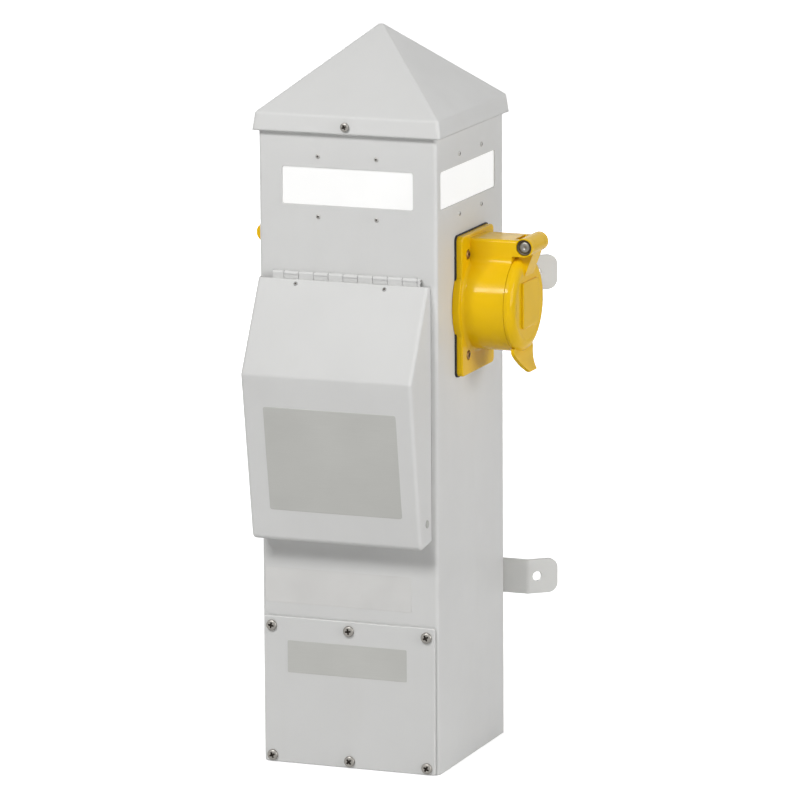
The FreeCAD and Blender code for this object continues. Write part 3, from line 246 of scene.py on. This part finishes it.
white = (0.685, 0.685, 0.675)
looks = {
    "post": powder_coat("post_powder_coat", white),
    "cap": powder_coat("cap_powder_coat", white, 0.47, 1.2, edge=0.0025),
    # The hood's white is a shade lighter than the post's to make up for its duller sheen: painted
    # light
    "hood": powder_coat("hood_powder_coat", (0.70, 0.70, 0.69), 0.62, 0.8, 0.05, 0.08),
    "cover": powder_coat("cover_powder_coat", white, 0.46),
    "strap": powder_coat("strap_powder_coat", (0.69, 0.69, 0.67), 0.46),
    "hinge": powder_coat("hinge_paint", (0.68, 0.68, 0.67), 0.46, 1.0, 0.08),
    "panel": powder_coat("panel_grey_enamel", (0.30, 0.31, 0.32), 0.4),
    "lens": opal("lens_opal_lit", (0.97, 0.97, 0.96), 0.45, 0.60),
    "bulb": opal("bulb_opal", (0.94, 0.94, 0.90), 0.9, 0.5),
    "yellow": moulded("yellow_moulded", (0.80, 0.495, 0.004), 0.13, 0.3, 0.04, 0.11),
    "black": moulded("black_moulded", (0.022, 0.022, 0.024), 0.42),
    "breaker": moulded("breaker_moulded", (0.03, 0.03, 0.033), 0.5),
    "toggle": moulded("toggle_moulded", (0.015, 0.015, 0.016), 0.35),
    "rubber": rubber("gasket_rubber", (0.018, 0.017, 0.016)),
    # Yellow brown so that the seam between each yellow drum and its lid shows lit yellow, not a
    # dark line: painted light over the seam's shade
    "seal": rubber("lid_seal_painted_seam_light", (0.40, 0.25, 0.03)),
    "steel": metal("screw_stainless", (0.335, 0.32, 0.295), 0.34),
    "lens_screw": metal("lens_screw_zinc", (0.47, 0.46, 0.44), 0.5),
    "rivet": metal("rivet_dull", (0.33, 0.33, 0.325), 0.62),
    "pin": metal("lid_pin_steel", (0.27, 0.26, 0.235), 0.38),
    # Push nuts: steel, darkened to brown as painted shade of the barrels' recesses
    "spring": metal("push_nut_steel_and_shade", (0.12, 0.10, 0.07), 0.6),
    "nylon": moulded("plug_nylon", (0.42, 0.42, 0.40), 0.5, 0.5),
    # Near-black for the insides of the screws' cross recesses and the rivets' stem holes: painted
    # shade
    "recess": metal("screw_recess_painted_shade", (0.07, 0.06, 0.05), 0.6),
    # Steel screws sunk in the yellow covers, coloured dark brown: painted shade of their
    # counterbores
    "brown_screw": metal("cover_screw_painted_shade", (0.34, 0.20, 0.07), 0.45),
    "zinc": metal("zinc_sheet", (0.50, 0.51, 0.53), 0.42, (1.0, 8.0, 1.0), 120.0),
    "brass": metal("terminal_brass", (0.62, 0.44, 0.18), 0.35),
    "aluminium": metal("ground_bar_aluminium", (0.66, 0.67, 0.68), 0.36, (1.0, 10.0, 1.0), 200.0),
    "label": foil("label_grey_foil", (0.515, 0.515, 0.49)),
    "film": moulded("clear_film", (0.66, 0.655, 0.64), 0.40, 0.2),
}
# Nodes that aren't named here are bright steel
nodes_by_look = {
    "post": ["post_shell"],
    "cap": ["pyramid_cap"],
    "hood": ["breaker_hood"],
    "cover": ["service_cover"],
    "strap": ["upper_strap", "lower_strap"],
    "hinge": ["hinge_post_leaf", "hinge_hood_leaf"],
    "panel": ["dead_front_plate"],
    "lens": ["lens_front", "lens_back", "lens_left", "lens_right"],
    "bulb": ["lamp_bulb"],
    "yellow": ["right_housing", "left_housing", "right_lid", "left_lid"],
    "black": ["lamp_socket", "terminal_block", "right_receptacle", "left_receptacle"],
    "breaker": ["breaker_left", "breaker_right"],
    "toggle": ["toggle_left", "toggle_right"],
    "rubber": ["service_gasket", "right_gasket", "left_gasket"],
    "seal": ["right_lid_seal", "left_lid_seal"],
    "lens_screw": ["lens_screws"],
    "rivet": ["hood_rivets"],
    "pin": ["right_lid_pin", "left_lid_pin"],
    "brown_screw": ["right_cover_screws", "left_cover_screws"],
    "zinc": ["lamp_bracket", "breaker_tray", "strap_bolts", "strap_nuts"],
    "brass": ["terminal_screws"],
    "aluminium": ["ground_bar"],
}
look_of_node = {name: look for look, names in nodes_by_look.items() for name in names}
for name, obj in nodes.items():
    material = looks[look_of_node.get(name, "steel")]
    for slot in obj.material_slots:
        slot.link = "DATA"
        slot.material = material


# Extra pieces
def front_place(x, proud, z):
    # From millimetres to a point in metres, with the distance in front of the post's face
    return Vector((x, post_front - proud, z)) * MM


def finish_mesh(name, bm, material, body):
    mesh = bpy.data.meshes.new(name)
    bm.to_mesh(mesh)
    bm.free()
    obj = bpy.data.objects.new(name, mesh)
    bpy.context.scene.collection.objects.link(obj)
    obj.data.materials.append(material)
    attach(obj, body)
    return obj


def bridge(bm, low, high, smooth, slot=0):
    # Band of faces between two closed loops
    for i in range(len(low)):
        j = (i + 1) % len(low)
        face = bm.faces.new((low[i], low[j], high[j], high[i]))
        face.smooth = smooth
        face.material_index = slot


def turned(bm, centre, out, profile, sides=32, slot=0):
    # Open body of revolution: profile of (radius, height along out) in millimetres
    out = Vector(out)
    side = Vector((0, 0, 1)).cross(out).normalized()
    up = out.cross(side)
    angles = [math.tau * i / sides for i in range(sides)]
    spokes = [side * math.cos(angle) + up * math.sin(angle) for angle in angles]
    rings = [[bm.verts.new(centre + out * (height * MM) + spoke * (radius * MM))
              for spoke in spokes] for radius, height in profile]
    for low, high in zip(rings, rings[1:]):
        bridge(bm, low, high, sides > 8, slot)
    return rings


def close(bm, rings, slot=0):
    # End faces of a body of revolution
    for loop in (rings[0][::-1], rings[-1]):
        bm.faces.new(loop).material_index = slot


def thin_plate(name, middle, across, up, size, material, body):
    """Rounded plate whose back lies on the surface that it is stuck to."""
    corner_steps = 6
    width, height, thickness, corner = (value * MM for value in size)
    edge_lift, edge_inset = thickness * 0.7, thickness * 0.6
    across = Vector(across).normalized()
    up = Vector(up).normalized()
    out = across.cross(up)
    ring = []
    for cx, cy, start in ((1, 1, 0), (-1, 1, 90), (-1, -1, 180), (1, -1, 270)):
        for step in range(corner_steps + 1):
            turn = math.radians(start + 90 * step / corner_steps)
            x = cx * (width / 2 - corner) + corner * math.cos(turn)
            y = cy * (height / 2 - corner) + corner * math.sin(turn)
            ring.append(middle + across * x + up * y)
    bm = bmesh.new()
    levels = []
    for lift, shrink in ((0.0, 0.0), (edge_lift, 0.0), (thickness, edge_inset)):
        row = []
        for point in ring:
            away = point - middle
            row.append(bm.verts.new(middle + away * (1.0 - shrink / away.length) + out * lift))
        levels.append(row)
    for low, high in zip(levels, levels[1:]):
        bridge(bm, low, high, False)
    bm.faces.new(levels[-1])
    bm.faces.new(levels[0][::-1])
    return finish_mesh(name, bm, material, body)


def islands(obj):
    # Separate screws of one node, each as the lowest and highest corner of its mesh,
    # sorted along a slanting direction, so that the order is the same in every run
    slant = Vector((1.0, 2.3, 5.7))
    bm = bmesh.new()
    bm.from_mesh(obj.data)
    bmesh.ops.remove_doubles(bm, verts=bm.verts, dist=same_place)
    left = set(bm.verts)
    boxes = []
    while left:
        stack = [left.pop()]
        group = []
        while stack:
            vert = stack.pop()
            group.append(vert.co.copy())
            for edge in vert.link_edges:
                other = edge.other_vert(vert)
                if other in left:
                    left.remove(other)
                    stack.append(other)
        low = Vector([min(co[i] for co in group) for i in range(3)])
        high = Vector([max(co[i] for co in group) for i in range(3)])
        boxes.append((low, high))
    bm.free()
    return sorted(boxes, key=lambda box: box[0].dot(slant))


def cross_screw(bm, low, high, out, shank, turn):
    """Pan-head screw with a cross recess, in the box of the screw that it stands for."""
    # Parts of the head's radius, then of the head's height and of the recess's mouth
    head_height, arm_length, half_arm_width = 0.52, 0.56, 0.15
    inner_corner = 1.3 * half_arm_width
    recess_depth, recess_taper = 0.75, 0.55
    out = Vector(out)
    side = Vector((0, 0, 1)).cross(out)
    up = out.cross(side)
    axis, across = (1, 0) if abs(out.y) > 0.5 else (0, 1)
    top = (low + high) / 2.0
    top[axis] = high[axis] if out[axis] > 0 else low[axis]
    length, diameter = ((high[i] - low[i]) / MM for i in (axis, across))
    radius = diameter / 2.0
    height = radius * head_height

    def cross(scale, depth):
        arm, half_arm, inner = (part * radius * scale
                                for part in (arm_length, half_arm_width, inner_corner))
        made = []
        for quarter in range(4):
            angle = turn + quarter * math.pi / 2
            along = side * math.cos(angle) + up * math.sin(angle)
            over = -side * math.sin(angle) + up * math.cos(angle)
            for a, b in ((arm, -half_arm), (arm, half_arm), (inner, inner)):
                made.append(bm.verts.new(top + (along * a + over * b - out * depth) * MM))
        return made

    rings = turned(bm, top, out, (
        (shank, -length), (shank, -height), (radius * 0.97, -height), (radius, -height * 0.85),
        (radius, -height * 0.5), (radius * 0.95, -height * 0.26),
        (radius * 0.83, -height * 0.09), (radius * 0.64, 0.0)))
    bm.faces.new(rings[0][::-1])
    mouth = cross(1.0, 0.0)
    bottom = cross(recess_taper, height * recess_depth)
    # Walls and floor of the recess take slot 1, the painted shade
    bridge(bm, mouth, bottom, False, 1)
    bm.faces.new(bottom).material_index = 1
    edges = []
    for loop in (rings[-1], mouth):
        for i in range(len(loop)):
            first, second = loop[i], loop[(i + 1) % len(loop)]
            edges.append(bm.edges.get((first, second)) or bm.edges.new((first, second)))
    bmesh.ops.triangle_fill(bm, edges=edges, use_beauty=True, normal=out)


def screw_set(node, material, shank, out=None):
    # Detailed screws in place of the plain ones of a node, each turned by another angle.
    # Without out, each faces away from the post's axis.
    first_turn, next_turn = 0.4, 1.9
    bm = bmesh.new()
    for number, (low, high) in enumerate(islands(nodes[node])):
        centre = (low + high) / 2.0
        way = out
        if way is None and abs(centre.x) > abs(centre.y):
            way = (math.copysign(1, centre.x), 0, 0)
        elif way is None:
            way = (0, math.copysign(1, centre.y), 0)
        cross_screw(bm, low, high, way, shank, first_turn + next_turn * number)
    bmesh.ops.recalc_face_normals(bm, faces=bm.faces)
    piece = finish_mesh(node + "_crossed", bm, material, "pedestal")
    # Slot 1: painted shade inside the recesses
    piece.data.materials.append(looks["recess"])
    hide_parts(node)


def hex_bolts():
    # Hexagon heads with washers in place of the plain heads on the rear straps
    shank, washer, washer_height, head, head_height = 2.9, 6.5, 0.9, 5.5, 3.4
    bm = bmesh.new()
    for low, high in islands(nodes["strap_bolts"]):
        middle = (low + high) / 2.0
        seat = Vector((middle.x, high.y - head_height * MM, middle.z))
        tail = head_height - (high.y - low.y) / MM
        close(bm, turned(bm, seat, (0, 1, 0), (
            (shank, tail), (shank, 0.0), (washer, 0.0), (washer, washer_height - 0.2),
            (washer - 0.3, washer_height), (head - 0.3, washer_height))))
        close(bm, turned(bm, seat, (0, 1, 0), (
            (head, washer_height), (head, head_height - 0.4), (head - 0.6, head_height),
            (head - 1.3, head_height)), 6))
    bmesh.ops.recalc_face_normals(bm, faces=bm.faces)
    piece = finish_mesh("strap_hex_bolts", bm, looks["zinc"], "pedestal")
    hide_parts("strap_bolts")


def blind_rivets(node, body, out):
    # Domed rivets with the broken stem's hole, in place of the plain ones of a node
    head, head_height, shank, tail_head, hole, hole_depth = 1.8, 0.6, 1.1, 1.4, 0.75, 0.5
    out = Vector(out).normalized()
    bm = bmesh.new()
    for low, high in islands(nodes[node]):
        own = [v.co for v in nodes[node].data.vertices
               if low.x - same_place < v.co.x < high.x + same_place]
        top = max(co.dot(out) for co in own)
        tail = (min(co.dot(out) for co in own) - top) / MM
        rim = [co for co in own if co.dot(out) > top - same_place]
        centre = Vector([(min(co[i] for co in rim) + max(co[i] for co in rim)) / 2.0
                         for i in range(3)])
        rings = turned(bm, centre, out, (
            (tail_head, tail), (tail_head, tail + head_height), (shank, tail + head_height),
            (shank, -head_height), (head, -head_height), (head - 0.05, -0.4),
            (head - 0.45, -0.12), (hole + 0.1, 0.0)))
        bm.faces.new(rings[0][::-1])
        bottom = turned(bm, centre, out, [(hole, -hole_depth)])[0]
        # The stem hole takes slot 1, the painted shade
        bridge(bm, rings[-1], bottom, True, 1)
        bm.faces.new(bottom).material_index = 1
    bmesh.ops.recalc_face_normals(bm, faces=bm.faces)
    piece = finish_mesh(node + "_domed", bm, looks["rivet"], body)
    # Slot 1: painted shade inside the stem holes
    piece.data.materials.append(looks["recess"])
    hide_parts(node)


def lid_pin_nut(node, name):
    # Push nut round the head of a lid's hinge pin, in the recess of its barrel, and the head's
    # crown. The nut's dark brown also paints the shade in that recess.
    low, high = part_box(node)
    bm = bmesh.new()
    place = Vector(((low[0] + high[0]) / 2.0, lid_pin_seat_y * MM, (low[2] + high[2]) / 2.0))
    rings = turned(bm, place, (0, -1, 0), (
        (4.65, 0.2), (4.65, 2.2), (4.9, 2.5), (5.9, 3.1), (6.4, 3.0), (6.5, 2.6), (6.5, 0.2)))
    bridge(bm, rings[-1], rings[0], True)
    close(bm, turned(bm, place, (0, -1, 0), (
        (4.5, 2.5), (4.4, 2.75), (3.6, 3.05), (2.4, 3.25), (1.5, 3.2), (1.2, 2.9), (0.3, 2.8)),
        slot=1), 1)
    bmesh.ops.recalc_face_normals(bm, faces=bm.faces)
    piece = finish_mesh(name, bm, looks["spring"], "pedestal")
    piece.data.materials.append(looks["pin"])


def hood_plugs():
    # Snap-in plugs of the padlock holes in the hood's sides
    bm = bmesh.new()
    for way in (1, -1):
        place = front_place(hood_middle + way * hood_half_width, lock_hole_proud,
                            hood_foot_z + lock_hole_rise)
        close(bm, turned(bm, place, (way, 0, 0), (
            (2.0, -2.4), (2.3, -2.0), (2.3, 0.02), (3.3, 0.02), (3.3, 0.3), (2.9, 0.6),
            (1.8, 0.8), (0.8, 0.85))))
    bmesh.ops.recalc_face_normals(bm, faces=bm.faces)
    piece = finish_mesh("hood_hole_plugs", bm, looks["nylon"], "hood")


def hinge_lips():
    # Painted lips of the hood's hinge leaf that close the notches below the post's
    # knuckles, as an outline of (proud, height) clear of the hinge's barrel
    outline = ((3.68, 400.62), (4.05, 403.2), (4.2, 404.0), (4.05, 404.05), (3.72, 403.5),
               (3.0, 402.75), (2.89, 400.2))
    bm = bmesh.new()
    for number in range(notch_count):
        start = first_notch_x + notch_pitch * number
        ends = [[bm.verts.new(front_place(x, proud, z)) for proud, z in outline]
                for x in (start, start + notch_length)]
        bridge(bm, ends[0], ends[1], False)
        bm.faces.new(ends[0])
        bm.faces.new(ends[1][::-1])
    bmesh.ops.recalc_face_normals(bm, faces=bm.faces)
    piece = finish_mesh("hinge_notch_lips", bm, looks["hinge"], "hood")


# Radii of the screws' shanks, and the direction square to the hood's upper slope
wide_shank, narrow_shank = 1.9, 1.2
off_slope = (0, hood_bend_z - hood_top_z, hood_bend_proud - hood_top_proud)
screw_set("service_screws", looks["steel"], wide_shank, (0, -1, 0))
screw_set("cap_screws", looks["steel"], wide_shank)
screw_set("dead_front_screws", looks["steel"], wide_shank, (0, -1, 0))
screw_set("right_cover_screws", looks["brown_screw"], wide_shank, (1, 0, 0))
screw_set("left_cover_screws", looks["brown_screw"], wide_shank, (-1, 0, 0))
screw_set("lens_screws", looks["lens_screw"], narrow_shank)
screw_set("lamp_bracket_screws", looks["steel"], narrow_shank, (0, 1, 0))
hex_bolts()
blind_rivets("hood_rivets", "hood", off_slope)
blind_rivets("hinge_post_rivets", "pedestal", (0, -1, 0))
lid_pin_nut("right_lid_pin", "right_pin_nut")
lid_pin_nut("left_lid_pin", "left_pin_nut")
hood_plugs()
hinge_lips()

hood_slope = Vector((0.0, hood_bend_proud - hood_foot_proud, hood_foot_z - hood_bend_z))
down_slope = hood_slope.normalized()
bend = front_place(hood_label_x, hood_bend_proud, hood_bend_z)
thin_plate("hood_label", bend + down_slope * hood_label_drop * MM, (1, 0, 0), -down_slope,
           hood_label_size, looks["label"], "hood")
label_x, label_z = cover_label_middle
thin_plate("cover_label", front_place(label_x, cover_proud, label_z), (1, 0, 0), (0, 0, 1),
           cover_label_size, looks["label"], "pedestal")
film_x, film_z = film_middle
thin_plate("post_film", front_place(film_x, 0.0, film_z), (1, 0, 0), (0, 0, 1),
           film_size, looks["film"], "pedestal")


# Stage
def floor():
    # Its own glow keeps it white to the camera, less so within reach of the object's
    # shadow, from near to far. Mirrors see less of the glow.
    half_size = 30.0
    albedo = 0.65
    near, near_glow, far, far_glow = 0.4, 0.66, 2.2, 1.0
    mirrored_glow = 0.35
    mesh = bpy.data.meshes.new("floor")
    bm = bmesh.new()
    bmesh.ops.create_grid(bm, x_segments=1, y_segments=1, size=half_size)
    bm.to_mesh(mesh)
    bm.free()
    obj = bpy.data.objects.new("floor", mesh)
    bpy.context.scene.collection.objects.link(obj)
    g = Graph("floor_white")
    g.shader.inputs["Base Color"].default_value = (albedo, albedo, albedo, 1.0)
    g.shader.inputs["Roughness"].default_value = 0.9
    path = g.node("ShaderNodeLightPath")
    glow = g.node("ShaderNodeEmission")
    add = g.node("ShaderNodeAddShader")
    away = g.node("ShaderNodeVectorMath", operation="LENGTH")
    g.link(g.coords.outputs["Object"], away.inputs[0])
    seen = g.node("ShaderNodeMath", operation="MULTIPLY")
    g.link(path.outputs["Is Camera Ray"], seen.inputs[0])
    g.link(g.ramp(away.outputs["Value"], near_glow, far_glow, near, far), seen.inputs[1])
    mirrored = g.node("ShaderNodeMath", operation="MAXIMUM")
    g.link(path.outputs["Is Glossy Ray"], mirrored.inputs[0])
    g.link(path.outputs["Is Transmission Ray"], mirrored.inputs[1])
    strength = g.node("ShaderNodeMath", operation="MULTIPLY_ADD")
    g.link(mirrored.outputs[0], strength.inputs[0])
    strength.inputs[1].default_value = mirrored_glow
    g.link(seen.outputs[0], strength.inputs[2])
    g.link(strength.outputs[0], glow.inputs["Strength"])
    g.link(g.shader.outputs[0], add.inputs[0])
    g.link(glow.outputs[0], add.inputs[1])
    g.link(add.outputs[0], g.out.inputs[0])
    obj.data.materials.append(g.material)


def studio_world():
    # White to the eye and in mirrors, and a weak light on the object
    ambient = 0.11
    world = bpy.data.worlds.new("studio")
    bpy.context.scene.world = world
    world.use_nodes = True
    tree = world.node_tree
    tree.nodes.clear()
    out = tree.nodes.new("ShaderNodeOutputWorld")
    back = tree.nodes.new("ShaderNodeBackground")
    path = tree.nodes.new("ShaderNodeLightPath")
    seen = path.outputs["Is Camera Ray"]
    for kind in ("Is Glossy Ray", "Is Transmission Ray"):
        either = tree.nodes.new("ShaderNodeMath")
        either.operation = "MAXIMUM"
        tree.links.new(seen, either.inputs[0])
        tree.links.new(path.outputs[kind], either.inputs[1])
        seen = either.outputs[0]
    level = tree.nodes.new("ShaderNodeMapRange")
    level.inputs["To Min"].default_value = ambient
    level.inputs["To Max"].default_value = 1.0
    tree.links.new(seen, level.inputs["Value"])
    back.inputs["Color"].default_value = (1.0, 1.0, 1.0, 1.0)
    tree.links.new(level.outputs[0], back.inputs["Strength"])
    tree.links.new(back.outputs[0], out.inputs[0])


# Lights
middle_height = 0.3


def light_place(left, up, distance):
    # Degrees left of the front and above the level, and the distance from the object
    turn, rise = math.radians(left), math.radians(up)
    level = distance * math.cos(rise)
    return (-level * math.sin(turn), -level * math.cos(turn),
            middle_height + distance * math.sin(rise))


def area_light(name, place, size, power, target=(0, 0, middle_height)):
    # Rectangle in metres and power in watts
    data = bpy.data.lights.new(name, "AREA")
    data.shape = "RECTANGLE"
    data.size, data.size_y = size
    data.energy = power
    obj = bpy.data.objects.new(name, data)
    bpy.context.scene.collection.objects.link(obj)
    obj.location = place
    obj.rotation_euler = (Vector(target) - Vector(place)).to_track_quat("-Z", "Y").to_euler()


def photo_camera():
    # Solved from the photograph: angles in degrees, place in metres, focal length in
    # pixels of a picture 800 wide, and sensor in millimetres
    yaw, pitch, roll = math.radians(21.2545), math.radians(11.35), math.radians(-0.3227)
    place = (1.8298, -4.66697, 1.29578)
    focal_pixels, picture_pixels, sensor = 6289.25, 800.0, 36.0
    back_axis = Vector((math.sin(yaw) * math.cos(pitch), -math.cos(yaw) * math.cos(pitch),
                        math.sin(pitch)))
    right_axis = Vector((math.cos(yaw), math.sin(yaw), 0.0))
    up_axis = back_axis.cross(right_axis)
    cam_x = right_axis * math.cos(roll) + up_axis * math.sin(roll)
    cam_y = -right_axis * math.sin(roll) + up_axis * math.cos(roll)
    data = bpy.data.cameras.new("camera")
    data.sensor_fit = "HORIZONTAL"
    data.sensor_width = sensor
    data.lens = focal_pixels * sensor / picture_pixels
    data.clip_end = 100.0
    camera = bpy.data.objects.new("camera", data)
    bpy.context.scene.collection.objects.link(camera)
    matrix = Matrix((cam_x, cam_y, back_axis)).transposed().to_4x4()
    matrix.translation = Vector(place)
    camera.matrix_world = matrix
    return camera


floor()
studio_world()
area_light("key", light_place(8.0, 44.0, 3.2), (1.2, 0.75), 53.0)
# Mirrored as the bright streak down the right cover's drum, at which it points
area_light("strip", light_place(22.2, 34.2, 3.15), (0.22, 0.48), 13.0, (0.11, 0, 0.38))
area_light("front_right", light_place(-41.0, 35.0, 3.2), (0.8, 0.8), 4.0)
area_light("right_fill", light_place(-82.0, 12.0, 3.0), (1.5, 1.5), 43.0)
area_light("rear_left", light_place(134.0, 11.0, 3.0), (1.6, 1.2), 56.0)
bpy.context.scene.camera = photo_camera()
bpy.context.scene.view_settings.view_transform = "Standard"
